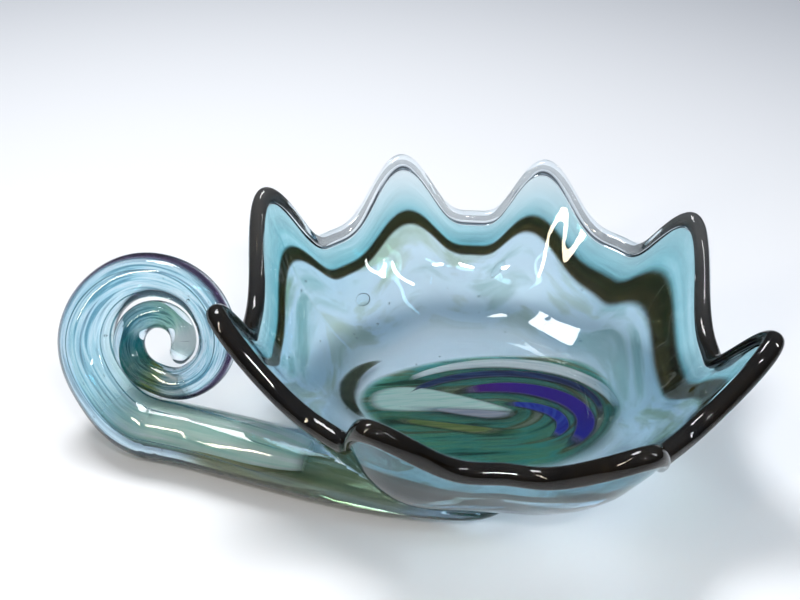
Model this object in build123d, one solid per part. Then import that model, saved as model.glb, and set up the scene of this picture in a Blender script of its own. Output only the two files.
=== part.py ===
from build123d import *
import math
import os

# Hand-blown art glass bowl: eight pulled points round the rim and a tail that curls into a coil.
# Millimetres.  Origin at the middle of the foot, on the table; +Z up; the tail runs towards -X.

# ---- driving dimensions -------------------------------------------------------------------
POINTS = 8
POINT_RADIUS = 137.0
POINT_HEIGHT = 90.5
DIP_RADIUS = 119.5
DIP_HEIGHT = 55.0
POINT_SHARPNESS = 1.7
FIRST_POINT = 157.5
FOOT_RADIUS = 60.0
FOOT_RECESS_RADIUS = 54.0
FOOT_RECESS = 0.6
PONTIL_RADIUS = 14.0
FLOOR_THICKNESS = 15.0
WALL_THICKNESS = 5.0
LIP_RADIUS = 4.8

# Hand-made unevenness, one value for each half step: point, dip, point, dip ...
TURN = (-4, 1, -2, 0, 4, 0, 5, -4, 0, -3, 0, 0, -1, 6, -1, 2)
REACH = (0, 2, -1, 0, -2, 3, -4, -1, 0, -2, 3, -4, -1, -4, 1, 2)
LIFT = (5, 1, -2, 0, -2, 4, 0, -5, 0, 0, -2, 8, 1, 2, 1, -2)

# Wall outline in a plane through the axis: it leaves the foot at this angle, and the control
# point lies this far along that line, under a dip and under a point.
FLARE_ANGLE = math.radians(12.5)
DIP_BELLY = 34.0
POINT_BELLY = 50.0

# Fractions of the way up the wall where the inner layers change.  The dark band is widest
# between the fourth and the fifth point.
BAND_TOP = 0.87
BAND_CUSP = -0.04
BAND_WIDTH = 0.06
BAND_EXTRA = 0.17
BAND_WIDEST = 3.2
BAND_SPREAD = 1.6
LAYER_SPLIT = 0.5

# Tail: root under the front of the bowl, then a straight run on the table, then the coil.
TAIL_ROOT = (14.0, -71.0, 9.0)
TAIL_LEAD = (-42.0, -79.0, 16.0)
TAIL_EXTRA_WIDTH = 5.0
COIL_EYE = (-165.0, -18.0, 54.0)
COIL_YAW = math.radians(10.0)
COIL_LEAN = math.radians(30.0)
COIL_HANDLE = 48.0
# Coil radius and glass radius at each eighth of a turn, from the table round to the eye.
COIL_RADII = (43.5, 39.8, 41.5, 39.0, 34.5, 31.5, 29.0, 23.5, 18.0, 17.5, 18.0, 17.0, 15.0, 13.0, 11.0, 9.5)
GLASS_RADII = (16.3, 15.0, 14.2, 12.4, 11.0, 10.0, 9.5, 8.8, 8.0, 8.0, 8.0, 7.4, 6.4, 5.6, 4.8, 3.6)
COIL_EIGHTHS = 15.0
LEAD_UNITS = 5.0
TABLE_GAP = 0.5
CORE_SIZE = (0.42, 0.55)
RIBBON_SIZE = (0.80, 0.30)
STREAK_SIZE = (0.17, 0.20)
STREAK_PLACE = (0.46, -0.56)

# Colour in the floor: a slab of teal glass with canes drawn out in it.
POOL_BOTTOM = 5.6
POOL_THICKNESS = 3.0
POOL_OUTLINE = ((79, 2), (66, 36), (25, 41), (-20, 33), (-57, 12), (-58, -14), (-22, -43), (25, -48), (62, -28))
SWIRL_CENTRE = (12.0, -8.0)
SWIRL_TILT = 8.0
LABEL_SIZE = 11.0
LABEL_THICKNESS = 0.2
LABEL_GLUE = 0.02
LABEL_PLACE = (-31.0, -31.0)
LABEL_TURN = 8.0

AROUND = 64
TAIL_CORNERS = 12
TAIL_RUNS = 4
SECTIONS_A_RUN = 12
UP_WALL = 9


# ---- curves -------------------------------------------------------------------------------
def ease(fraction):
    """Weight that falls smoothly from 1 to 0."""
    return math.cos(math.pi * fraction / 2) ** 2


def uneven(values, place):
    """Smooth value at a place round the rim, where whole numbers are points."""
    half_steps = place * 2
    index = math.floor(half_steps)
    weight = ease(half_steps - index)
    count = len(values)
    return values[index % count] * weight + values[(index + 1) % count] * (1 - weight)


def pointedness(place):
    """1 at a point of the rim, 0 in a dip."""
    return ((1 + math.cos(2 * math.pi * place)) / 2) ** POINT_SHARPNESS


def bearing(place):
    """Direction from the axis, in radians; the points follow each other clockwise."""
    return math.radians(FIRST_POINT - 360 / POINTS * place + uneven(TURN, place))


def rim(place):
    """Radius and height of the wall's edge."""
    weight = pointedness(place)
    radius = DIP_RADIUS + (POINT_RADIUS - DIP_RADIUS) * weight + uneven(REACH, place)
    height = DIP_HEIGHT + (POINT_HEIGHT - DIP_HEIGHT) * weight + uneven(LIFT, place)
    return radius, height


def wall(place, up, layer, beyond=0.0):
    """Point of the wall: up from 0 at the foot to 1 at the edge, layer from 0 outside to 1
    inside, and a distance beyond the edge."""
    weight = pointedness(place)
    belly = DIP_BELLY + (POINT_BELLY - DIP_BELLY) * weight
    belly_r = FOOT_RADIUS + belly * math.cos(FLARE_ANGLE)
    belly_z = belly * math.sin(FLARE_ANGLE)
    rim_r, rim_z = rim(place)
    r = (1 - up) ** 2 * FOOT_RADIUS + 2 * up * (1 - up) * belly_r + up ** 2 * rim_r
    z = 2 * up * (1 - up) * belly_z + up ** 2 * rim_z
    slope_r = (1 - up) * (belly_r - FOOT_RADIUS) + up * (rim_r - belly_r)
    slope_z = (1 - up) * belly_z + up * (rim_z - belly_z)
    length = math.hypot(slope_r, slope_z)
    slope_r, slope_z = slope_r / length, slope_z / length
    thickness = WALL_THICKNESS + (FLOOR_THICKNESS - WALL_THICKNESS) * (1 - up) ** 3
    r += slope_r * beyond - slope_z * layer * thickness
    z += slope_z * beyond + slope_r * layer * thickness
    angle = bearing(place)
    return (r * math.cos(angle), r * math.sin(angle), z)


def closed_wire(points):
    """Smooth closed wire through evenly numbered points."""
    count = len(points)
    parameters = [i / count for i in range(count + 1)]
    return Wire([Edge.make_spline(points, periodic=True, parameters=parameters)])


def wall_ring(up, layer, beyond=0.0):
    """Closed wire round the wall; up is a number or a function of the place."""
    level = up if callable(up) else lambda place: up
    places = [POINTS * i / AROUND for i in range(AROUND)]
    return closed_wire([wall(p, level(p), layer, beyond) for p in places])


def band_high(place):
    return BAND_TOP + BAND_CUSP * pointedness(place)


def band_low(place):
    distance = min(abs(place - BAND_WIDEST) / BAND_SPREAD, 1.0)
    return band_high(place) - BAND_WIDTH - BAND_EXTRA * ease(distance)


def between(low, high, fraction):
    """Level part of the way from one level to another, each a number or a function."""
    def level(place):
        start = low(place) if callable(low) else low
        end = high(place) if callable(high) else high
        return start + (end - start) * fraction
    return level


def sew(shells):
    faces = []
    for shell in shells:
        faces += shell.faces()
    return Solid(Shell(faces)).fix()


def strip(low, high, steps):
    """Part of the inner layer between two levels, as a closed ring."""
    levels = [between(low, high, i / steps) for i in range(steps + 1)]
    middle = [wall_ring(level, LAYER_SPLIT) for level in levels]
    inside = [wall_ring(level, 1.0) for level in levels]
    return sew([
        Shell.make_loft(middle),
        Shell.make_loft(inside),
        Shell.make_loft([middle[0], inside[0]], ruled=True),
        Shell.make_loft([middle[-1], inside[-1]], ruled=True),
    ])


# ---- bowl ---------------------------------------------------------------------------------
def clear_casing():
    """Outer gather of clear glass, with its thick floor, foot ring and ground pontil."""
    levels = [i / UP_WALL for i in range(UP_WALL + 1)]
    outside = [wall_ring(level, 0.0) for level in levels]
    middle = [wall_ring(level, LAYER_SPLIT) for level in levels]
    body = sew([
        Shell.make_loft(outside),
        Shell.make_loft(middle),
        Shell.make_loft([outside[-1], middle[-1]], ruled=True),
        Shell(Face(outside[0])),
        Shell(Face(middle[0])),
    ])
    recess = (Cylinder(FOOT_RECESS_RADIUS, 2 * FOOT_RECESS)
              - Cylinder(PONTIL_RADIUS, 2 * FOOT_RECESS))
    return body - recess


def inner_layer():
    """Lower part of the inner gather: the floor and the wall up to the dark band."""
    levels = [between(0.0, band_low, i / UP_WALL) for i in range(UP_WALL + 1)]
    middle = [wall_ring(level, LAYER_SPLIT) for level in levels]
    inside = [wall_ring(level, 1.0) for level in levels]
    return sew([
        Shell.make_loft(middle),
        Shell.make_loft(inside),
        Shell.make_loft([middle[-1], inside[-1]], ruled=True),
        Shell(Face(middle[0])),
        Shell(Face(inside[0])),
    ])


def lip_wrap():
    """Rounded wrap of glass along the wall's edge."""
    half = WALL_THICKNESS / 2
    rise = math.sqrt(LIP_RADIUS ** 2 - half ** 2)
    start = math.asin(-rise / LIP_RADIUS)
    steps = 8
    rings = []
    for i in range(steps + 1):
        angle = start + (math.pi - 2 * start) * i / steps
        across = (half - LIP_RADIUS * math.cos(angle)) / WALL_THICKNESS
        rings.append(wall_ring(1.0, across, rise + LIP_RADIUS * math.sin(angle)))
    return sew([
        Shell.make_loft(rings),
        Shell.make_loft([rings[0], rings[-1]], ruled=True),
    ])


# ---- tail ---------------------------------------------------------------------------------
COIL_OUT = Vector(-math.cos(COIL_YAW), math.sin(COIL_YAW), 0)
COIL_BACK = Vector(math.sin(COIL_YAW), math.cos(COIL_YAW), 0)
COIL_UP = Vector(0, 0, math.cos(COIL_LEAN)) + COIL_BACK * math.sin(COIL_LEAN)


def smooth_value(values, place):
    """Smooth curve through evenly spaced values."""
    index = min(int(place), len(values) - 2)
    f = place - index
    a = values[max(index - 1, 0)]
    b, c = values[index], values[index + 1]
    d = values[min(index + 2, len(values) - 1)]
    return b + f / 2 * (c - a + f * (2 * a - 5 * b + 4 * c - d + f * (3 * (b - c) + d - a)))


def coil_point(eighths):
    angle = math.pi / 4 * eighths - math.pi / 2
    radius = smooth_value(COIL_RADII, eighths)
    return (Vector(*COIL_EYE) + COIL_OUT * (radius * math.cos(angle))
            + COIL_UP * (radius * math.sin(angle)))


def lead_point(along):
    """Run from the root, at 0, to the start of the coil, at 1."""
    end = coil_point(0)
    handle = end - COIL_OUT * COIL_HANDLE
    rest = 1 - along
    return (Vector(*TAIL_ROOT) * rest ** 3 + Vector(*TAIL_LEAD) * (3 * along * rest ** 2)
            + handle * (3 * along ** 2 * rest) + end * along ** 3)


def tail_point(along):
    """Centre line of the tail: first the run on the table, then an eighth of a turn a unit."""
    if along < LEAD_UNITS:
        return lead_point(along / LEAD_UNITS)
    return coil_point(along - LEAD_UNITS)


def tail_frame(along):
    """Centre, sideways and upward directions, and half width and half height of the tail."""
    step = 0.01
    centre = tail_point(along)
    forward = (tail_point(along + step) - tail_point(along - step)).normalized()
    lean = min(along / LEAD_UNITS, 1.0)
    towards = (COIL_UP.cross(COIL_OUT) * lean - COIL_BACK * (1 - lean)).normalized()
    upward = forward.cross(towards).normalized()
    side = upward.cross(forward).normalized()
    if along < LEAD_UNITS:
        height = centre.Z - TABLE_GAP
        width = height + TAIL_EXTRA_WIDTH * math.sin(math.pi * min(lean + 0.15, 1.0))
    else:
        height = width = smooth_value(GLASS_RADII, along - LEAD_UNITS)
    return centre, side, upward, width, height


def tail_section(along, scale=(1.0, 1.0), shift=(0.0, 0.0), twist=0.0):
    """Closed section of the tail, or of a piece inside it, scaled and shifted from its centre."""
    centre, side, upward, width, height = tail_frame(along)
    points = []
    for i in range(TAIL_CORNERS):
        angle = 2 * math.pi * i / TAIL_CORNERS
        turned = angle - twist
        reach = scale[0] * scale[1] / math.hypot(scale[1] * math.cos(turned),
                                                 scale[0] * math.sin(turned))
        points.append(centre + side * (width * (reach * math.cos(angle) + shift[0]))
                      + upward * (height * (reach * math.sin(angle) + shift[1])))
    return closed_wire(points)


def tail_loft(start, end, count, **section):
    sections = [tail_section(start + (end - start) * i / count, **section)
                for i in range(count + 1)]
    return Solid.make_loft(sections)


def whole_tail(end):
    """The tail before anything is cut out of it, in runs that share their end sections."""
    count = TAIL_RUNS * SECTIONS_A_RUN
    sections = [tail_section(end * i / count) for i in range(count + 1)]
    runs = [Shell.make_loft(sections[first:first + SECTIONS_A_RUN + 1])
            for first in range(0, count, SECTIONS_A_RUN)]
    return sew([*runs, Shell(Face(sections[0])), Shell(Face(sections[-1]))])


def ribbon(start, end, count, turns):
    """Flat twisted piece inside the coil."""
    sections = [tail_section(start + (end - start) * i / count, scale=RIBBON_SIZE,
                             twist=2 * math.pi * turns * i / count)
                for i in range(count + 1)]
    return Solid.make_loft(sections)


def envelope():
    """Everything inside the bowl's outer face, low enough to trim the tail's root."""
    levels = [0.8 * i / UP_WALL for i in range(UP_WALL + 1)]
    outside = [wall_ring(level, 0.0) for level in levels]
    apex = Vertex(0, 0, DIP_HEIGHT)
    return sew([
        Shell.make_loft(outside),
        Shell.make_loft([outside[-1], apex], ruled=True),
        Shell(Face(outside[0])),
    ])


# ---- colour in the floor ------------------------------------------------------------------
def swirl(start, end, centre, size, tilt, widths, steps=10):
    """Crescent that follows part of an oval, with a width at its start, middle and end."""
    inner, outer = [], []
    for i in range(steps + 1):
        f = i / steps
        angle = math.radians(start + (end - start) * f)
        width = widths[0] * (1 - f) ** 2 + 2 * widths[1] * f * (1 - f) + widths[2] * f ** 2
        for line, side in ((inner, -1), (outer, 1)):
            x = (size[0] + side * width / 2) * math.cos(angle)
            y = (size[1] + side * width / 2) * math.sin(angle)
            turn = math.radians(tilt)
            line.append((centre[0] + x * math.cos(turn) - y * math.sin(turn),
                         centre[1] + x * math.sin(turn) + y * math.cos(turn)))
    edges = [Edge.make_spline(inner), Edge.make_line(inner[-1], outer[-1]),
             Edge.make_spline(outer[::-1]), Edge.make_line(outer[0], inner[0])]
    return Face(Wire(edges))


def leaf(points):
    """Area inside a smooth closed line."""
    return Face(closed_wire([(x, y, 0) for x, y in points]))


def pool_faces():
    """Areas of colour in the floor, by name; each gives way to the ones before it."""
    def arc(start, end, size, widths, shift=0.0):
        centre = (SWIRL_CENTRE[0], SWIRL_CENTRE[1] + shift)
        return swirl(start, end, centre, size, SWIRL_TILT, widths)

    return {
        "white_cane": arc(128, 4, (65, 39), (1.5, 9.0, 1.5)),
        "navy_cane": arc(138, -12, (57, 31.5), (1.5, 4.0, 1.5)),
        "cobalt_cane": arc(118, -52, (47, 28), (1.5, 10.0, 2.0), -9.0),
        "blue_cane": arc(84, -46, (34, 17), (1.5, 6.5, 1.5), -12.0),
        "mint_cane": leaf(((-4, -10), (-26, -1), (-45, 2), (-53, -4), (-45, -10), (-22, -12))),
        "lilac_cane": leaf(((8, -16), (-14, -14), (-32, -14.5), (-14, -17), (4, -18))),
        "olive_cane": leaf(((18, -24), (-14, -20.5), (-45, -17), (-49, -20), (-20, -26), (6, -29))),
    }


def pool():
    """Solids of the colour in the floor, by name, and the whole slab that they fill."""
    def slab(area):
        return extrude(area, POOL_THICKNESS, dir=(0, 0, 1)).moved(Location((0, 0, POOL_BOTTOM)))

    whole = slab(leaf(POOL_OUTLINE))
    canes = {name: slab(area) for name, area in pool_faces().items()}
    ground = whole
    for cane in canes.values():
        ground = ground - cane
    return {**canes, "teal_ground": ground}, whole


def seam_crescent():
    """Dark fold at the tail's end of the colour."""
    face = swirl(232, 112, (-44, 4), (28.5, 28.5), 0, (1.5, 15.0, 1.5))
    return extrude(face, POOL_THICKNESS, dir=(0, 0, 1)).moved(Location((0, 0, POOL_BOTTOM)))


def paper_label():
    """Blank square sticker in the recess under the foot."""
    height = FOOT_RECESS - LABEL_GLUE - LABEL_THICKNESS / 2
    place = Location((LABEL_PLACE[0], LABEL_PLACE[1], height), (0, 0, LABEL_TURN))
    return Box(LABEL_SIZE, LABEL_SIZE, LABEL_THICKNESS).moved(place)


# ---- pieces -------------------------------------------------------------------------------
def save(name, shape):
    shape.label = name
    export_step(shape, f"parts/{name}.step")


def main():
    os.makedirs("parts", exist_ok=True)
    colours, slab = pool()
    crescent = seam_crescent()
    end = LEAD_UNITS + COIL_EIGHTHS
    core = tail_loft(2.7, 11.4, 27, scale=CORE_SIZE)
    twist = ribbon(11.8, end - 0.4, 30, 1.25)
    streak = tail_loft(1.6, 5.5, 12, scale=STREAK_SIZE, shift=STREAK_PLACE)
    pieces = {
        "clear_casing": clear_casing() - slab - crescent,
        "inner_layer": inner_layer() - slab - crescent,
        "smoke_band": strip(band_low, band_high, 2),
        "teal_collar": strip(band_high, 1.0, 3),
        "lip_wrap": lip_wrap(),
        "seam_crescent": crescent,
        "paper_label": paper_label(),
        "tail_casing": whole_tail(end) - envelope() - core - streak - twist,
        "tail_core": core,
        "coil_ribbon": twist,
        "amber_streak": streak,
    }
    pieces.update(colours)
    for name, shape in pieces.items():
        save(name, shape)


main()
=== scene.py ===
import math

import bmesh
import bpy
import numpy as np
from mathutils import Matrix, Vector


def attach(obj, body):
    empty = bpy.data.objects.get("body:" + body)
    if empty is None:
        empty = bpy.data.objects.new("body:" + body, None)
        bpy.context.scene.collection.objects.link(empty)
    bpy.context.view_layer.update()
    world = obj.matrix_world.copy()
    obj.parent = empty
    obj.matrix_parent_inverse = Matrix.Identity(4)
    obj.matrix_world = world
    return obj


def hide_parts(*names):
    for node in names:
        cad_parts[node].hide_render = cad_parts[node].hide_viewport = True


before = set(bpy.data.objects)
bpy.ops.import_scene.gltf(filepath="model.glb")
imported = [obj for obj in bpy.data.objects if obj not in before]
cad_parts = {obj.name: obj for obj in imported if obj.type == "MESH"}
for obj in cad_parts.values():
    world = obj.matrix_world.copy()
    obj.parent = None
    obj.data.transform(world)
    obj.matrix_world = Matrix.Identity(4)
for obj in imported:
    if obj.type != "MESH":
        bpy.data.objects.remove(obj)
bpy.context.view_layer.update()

MM = 0.001

# ---- the bowl's shape, in millimetres, as the CAD model has it ---------------------------
POINTS = 8
POINT_RADIUS, POINT_HEIGHT = 137.0, 90.5
DIP_RADIUS, DIP_HEIGHT = 119.5, 55.0
POINT_SHARPNESS = 1.7
FIRST_POINT = 157.5
FOOT_RADIUS = 60.0
FOOT_RECESS_RADIUS, FOOT_RECESS, PONTIL_RADIUS = 54.0, 0.6, 14.0
FLOOR_THICKNESS, WALL_THICKNESS = 15.0, 5.0
LIP_RADIUS = 4.8
TURN = (-4, 1, -2, 0, 4, 0, 5, -4, 0, -3, 0, 0, -1, 6, -1, 2)
REACH = (0, 2, -1, 0, -2, 3, -4, -1, 0, -2, 3, -4, -1, -4, 1, 2)
LIFT = (5, 1, -2, 0, -2, 4, 0, -5, 0, 0, -2, 8, 1, 2, 1, -2)
FLARE_ANGLE = math.radians(12.5)
DIP_BELLY, POINT_BELLY = 34.0, 50.0
BAND_TOP, BAND_CUSP, BAND_WIDTH = 0.87, -0.04, 0.06
BAND_EXTRA, BAND_WIDEST, BAND_SPREAD = 0.17, 3.2, 1.6

TAIL_ROOT = np.array((14.0, -71.0, 9.0))
TAIL_LEAD = np.array((-42.0, -79.0, 16.0))
TAIL_EXTRA_WIDTH = 5.0
COIL_EYE = np.array((-165.0, -18.0, 54.0))
COIL_YAW, COIL_LEAN = math.radians(10.0), math.radians(30.0)
COIL_HANDLE = 48.0
COIL_RADII = (43.5, 39.8, 41.5, 39.0, 34.5, 31.5, 29.0, 23.5, 18.0, 17.5, 18.0, 17.0, 15.0, 13.0, 11.0, 9.5)
# The last radii are larger than in the CAD model, to close the coil's eye.
GLASS_RADII = (16.3, 15.0, 14.2, 12.4, 11.0, 10.0, 9.5, 8.8, 8.0, 8.0, 8.0, 7.6, 7.0, 6.6, 6.2, 4.4)
COIL_EIGHTHS, LEAD_UNITS, TABLE_GAP = 15.0, 5.0, 0.5

AROUND = 512
rng = np.random.default_rng(7)


def ease(fraction):
    return np.cos(np.pi * fraction / 2) ** 2


def uneven(values, place):
    half_steps = place * 2
    index = np.floor(half_steps).astype(int)
    weight = ease(half_steps - index)
    table = np.array(values, float)
    return table[index % len(values)] * weight + table[(index + 1) % len(values)] * (1 - weight)


def pointedness(place):
    return ((1 + np.cos(2 * np.pi * place)) / 2) ** POINT_SHARPNESS


def bearing(place):
    return np.radians(FIRST_POINT - 360 / POINTS * place + uneven(TURN, place))


def wall(place, up, layer, beyond=0.0):
    """Point of the wall: up from 0 at the foot to 1 at the edge, layer from 0 outside to 1
    inside, and a distance beyond the edge; all may be arrays."""
    place, up = np.broadcast_arrays(np.asarray(place, float), np.asarray(up, float))
    weight = pointedness(place)
    rim_r = DIP_RADIUS + (POINT_RADIUS - DIP_RADIUS) * weight + uneven(REACH, place)
    rim_z = DIP_HEIGHT + (POINT_HEIGHT - DIP_HEIGHT) * weight + uneven(LIFT, place)
    belly = DIP_BELLY + (POINT_BELLY - DIP_BELLY) * weight
    belly_r = FOOT_RADIUS + belly * math.cos(FLARE_ANGLE)
    belly_z = belly * math.sin(FLARE_ANGLE)
    r = (1 - up) ** 2 * FOOT_RADIUS + 2 * up * (1 - up) * belly_r + up ** 2 * rim_r
    z = 2 * up * (1 - up) * belly_z + up ** 2 * rim_z
    slope_r = (1 - up) * (belly_r - FOOT_RADIUS) + up * (rim_r - belly_r)
    slope_z = (1 - up) * belly_z + up * (rim_z - belly_z)
    length = np.hypot(slope_r, slope_z)
    slope_r, slope_z = slope_r / length, slope_z / length
    thickness = WALL_THICKNESS + (FLOOR_THICKNESS - WALL_THICKNESS) * (1 - up) ** 3
    r = r + slope_r * beyond - slope_z * layer * thickness
    z = z + slope_z * beyond + slope_r * layer * thickness
    angle = bearing(place)
    return np.stack([r * np.cos(angle), r * np.sin(angle), z], -1)


def band_high(place):
    return BAND_TOP + BAND_CUSP * pointedness(place)


def band_low(place):
    distance = np.minimum(np.abs(place - BAND_WIDEST) / BAND_SPREAD, 1.0)
    return band_high(place) - BAND_WIDTH - BAND_EXTRA * ease(distance)


# ---- the tail's shape --------------------------------------------------------------------
COIL_OUT = np.array((-math.cos(COIL_YAW), math.sin(COIL_YAW), 0))
COIL_BACK = np.array((math.sin(COIL_YAW), math.cos(COIL_YAW), 0))
COIL_UP = np.array((0, 0, math.cos(COIL_LEAN))) + COIL_BACK * math.sin(COIL_LEAN)
TAIL_END = LEAD_UNITS + COIL_EIGHTHS


def smooth_value(values, place):
    index = min(int(place), len(values) - 2)
    f = place - index
    a, b, c = values[max(index - 1, 0)], values[index], values[index + 1]
    d = values[min(index + 2, len(values) - 1)]
    return b + f / 2 * (c - a + f * (2 * a - 5 * b + 4 * c - d + f * (3 * (b - c) + d - a)))


def coil_point(eighths):
    angle = math.pi / 4 * eighths - math.pi / 2
    radius = smooth_value(COIL_RADII, eighths)
    return COIL_EYE + COIL_OUT * radius * math.cos(angle) + COIL_UP * radius * math.sin(angle)


def tail_point(along):
    if along >= LEAD_UNITS:
        return coil_point(along - LEAD_UNITS)
    f = along / LEAD_UNITS
    end = coil_point(0)
    handle = end - COIL_OUT * COIL_HANDLE
    rest = 1 - f
    return (TAIL_ROOT * rest ** 3 + TAIL_LEAD * 3 * f * rest ** 2 + handle * 3 * f ** 2 * rest
            + end * f ** 3)


def unit(vector):
    return vector / np.linalg.norm(vector)


def tail_frame(along):
    centre = tail_point(along)
    forward = unit(tail_point(along + 0.01) - tail_point(along - 0.01))
    lean = min(along / LEAD_UNITS, 1.0)
    towards = unit(np.cross(COIL_UP, COIL_OUT) * lean - COIL_BACK * (1 - lean))
    upward = unit(np.cross(forward, towards))
    side = unit(np.cross(upward, forward))
    if along < LEAD_UNITS:
        height = centre[2] - TABLE_GAP
        width = height + TAIL_EXTRA_WIDTH * math.sin(math.pi * min(lean + 0.15, 1.0))
    else:
        height = width = smooth_value(GLASS_RADII, along - LEAD_UNITS)
    return centre, side, upward, forward, width, height


# ---- mesh helpers ------------------------------------------------------------------------
def smooth_object(name, verts, faces, material):
    """Smooth closed mesh in the scene, with its faces looking out."""
    mesh = bpy.data.meshes.new(name)
    mesh.from_pydata([tuple(vert) for vert in verts], [], faces)
    mesh.polygons.foreach_set("use_smooth", [True] * len(mesh.polygons))
    obj = bpy.data.objects.new(name, mesh)
    bpy.context.collection.objects.link(obj)
    outward(obj)
    if material:
        mesh.materials.append(material)
    return obj


def grid_piece(name, rings, loop=False, material=None):
    """Closed mesh from rings of points in millimetres. Loop joins the last ring to the first;
    otherwise a fan closes each end."""
    rings = np.asarray(rings, float)
    count, around = rings.shape[:2]
    verts = rings.reshape(-1, 3) * MM
    faces = []
    for i in range(count if loop else count - 1):
        here = i * around
        there = (i + 1) % count * around
        for j in range(around):
            k = (j + 1) % around
            faces.append((here + j, here + k, there + k, there + j))
    if not loop:
        middles = [rings[0].mean(0) * MM, rings[-1].mean(0) * MM]
        first_middle = len(verts)
        last_middle = first_middle + 1
        last_ring = (count - 1) * around
        for j in range(around):
            faces.append((first_middle, (j + 1) % around, j))
        for j in range(around):
            faces.append((last_middle, last_ring + j, last_ring + (j + 1) % around))
        verts = np.vstack([verts, middles])
    return smooth_object(name, verts, faces, material)


def outward(obj):
    """Turn all faces of a closed mesh to look out."""
    bm = bmesh.new()
    bm.from_mesh(obj.data)
    bmesh.ops.recalc_face_normals(bm, faces=bm.faces)
    if bm.calc_volume(signed=True) < 0:
        bmesh.ops.reverse_faces(bm, faces=bm.faces)
    bm.to_mesh(obj.data)
    bm.free()


def boolean(obj, other, operation):
    modifier = obj.modifiers.new("cut", "BOOLEAN")
    modifier.object = other
    modifier.operation = operation
    modifier.solver = "EXACT"
    bpy.context.view_layer.objects.active = obj
    bpy.ops.object.modifier_apply(modifier=modifier.name)
    bpy.data.objects.remove(other)


def ripple(points, scale, amount, seed):
    """Gentle hand-made unevenness: a sum of slow waves in space."""
    local = np.random.default_rng(seed)
    total = np.zeros(points.shape[:-1])
    for octave in range(6):
        direction = unit(local.normal(size=3))
        size = scale * (0.6 + 0.5 * octave) ** -1
        total += np.sin(points @ direction * (2 * np.pi / size) + local.uniform(0, 6.28)) / (1 + octave)
    return total * amount / 2


places = POINTS * np.arange(AROUND) / AROUND
WALL_RINGS, LIP_STEPS, WAVE_HEIGHT = 70, 22, 0.9


# ---- glass body --------------------------------------------------------------------------
def bowl_rings():
    """Rings of the clear glass from the middle of the foot, up the outside, over the lip and
    down the inside to the middle of the floor."""
    angles = bearing(places)
    circle = np.stack([np.cos(angles), np.sin(angles)], -1)

    def flat(r, z):
        return np.concatenate([circle * r, np.full((AROUND, 1), z)], -1)

    def wavy(level, layer, scale, seed):
        points = wall(places, level, layer)
        fade = min(1.0, level * 4) * min(1.0, (1 - level) * 5)
        return points + radial(points) * (ripple(points, scale, WAVE_HEIGHT, seed) * fade)[:, None]

    rings = [flat(r, z) for r, z in (
        (2.0, 0.25), (6.0, 0.18), (10.0, 0.08), (PONTIL_RADIUS - 1, 0.04), (PONTIL_RADIUS, 0.08),
        (PONTIL_RADIUS + 2, 0.3), (PONTIL_RADIUS + 5, FOOT_RECESS), (30.0, FOOT_RECESS), (40.0, FOOT_RECESS),
        (44.0, 0.55), (48.0, 0.42), (51.0, 0.26), (53.5, 0.12), (FOOT_RECESS_RADIUS + 2, 0.04),
        (FOOT_RADIUS - 2.5, 0.04), (FOOT_RADIUS - 0.5, 0.07), (FOOT_RADIUS + 1.5, 0.32))]
    levels = np.linspace(0.05, 1.0, WALL_RINGS)
    rings += [wavy(level, 0.0, 60, 3) for level in levels]
    half = WALL_THICKNESS / 2
    rise = math.sqrt(LIP_RADIUS ** 2 - half ** 2)
    start = math.asin(-rise / LIP_RADIUS)
    for i in range(1, LIP_STEPS):
        angle = start + (math.pi - 2 * start) * i / LIP_STEPS
        across = (half - LIP_RADIUS * math.cos(angle)) / WALL_THICKNESS
        rings.append(wall(places, 1.0, across, rise + LIP_RADIUS * math.sin(angle)))
    rings += [wavy(level, 1.0, 45, 11) for level in levels[::-1]]
    inner_r = FOOT_RADIUS - FLOOR_THICKNESS * math.sin(FLARE_ANGLE)
    inner_z = FLOOR_THICKNESS * math.cos(FLARE_ANGLE)
    for f in (0.9, 0.75, 0.6, 0.45, 0.3, 0.15, 0.04):
        rings.append(flat(inner_r * f, inner_z - 0.4 * (1 - f)))
    return rings


def radial(points):
    flat = points.copy()
    flat[..., 2] = 0
    return flat / np.linalg.norm(flat, axis=-1, keepdims=True)


def tail_rings(start, end, count, corners, size=(1.0, 1.0), shift=(0.0, 0.0), twist=None, ribs=0.0,
               ends=(0.0, 0.0)):
    """Rings along the tail, or along a piece inside it, rounded off at the ends."""
    rings = []
    angles = 2 * np.pi * np.arange(corners) / corners
    for i in range(count + 1):
        f = i / count
        along = start + (end - start) * f
        centre, side, upward, _, width, height = tail_frame(along)
        taper = 1.0
        if ends[0] and f < ends[0]:
            taper = math.sqrt(max(1e-4, 1 - (1 - f / ends[0]) ** 2))
        if ends[1] and f > 1 - ends[1]:
            taper = math.sqrt(max(1e-4, 1 - ((f - 1 + ends[1]) / ends[1]) ** 2))
        turn = twist(f) if twist else 0.0
        swell = 1 + ribs * (np.cos(7 * angles + 0.6 * along) + 0.6 * np.cos(11 * angles - 0.4 * along))
        turned = angles - turn
        reach = size[0] * size[1] / np.hypot(size[1] * np.cos(turned), size[0] * np.sin(turned))
        reach = reach * taper * swell
        rings.append(centre + side * (width * (reach * np.cos(angles) + shift[0]))[:, None]
                     + upward * (height * (reach * np.sin(angles) + shift[1]))[:, None])
    return rings


def trimming_body():
    """Closed body inside the bowl's wall, which trims the tail's root."""
    rings = [wall(places[::4], level, 0.35) for level in np.linspace(0.0, 0.8, 24)]
    return grid_piece("trimming", rings)


# ---- materials ---------------------------------------------------------------------------
def new_material(name):
    material = bpy.data.materials.new(name)
    material.use_nodes = True
    nodes = material.node_tree.nodes
    return material, nodes, material.node_tree.links, nodes["Principled BSDF"], nodes["Material Output"]


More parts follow.
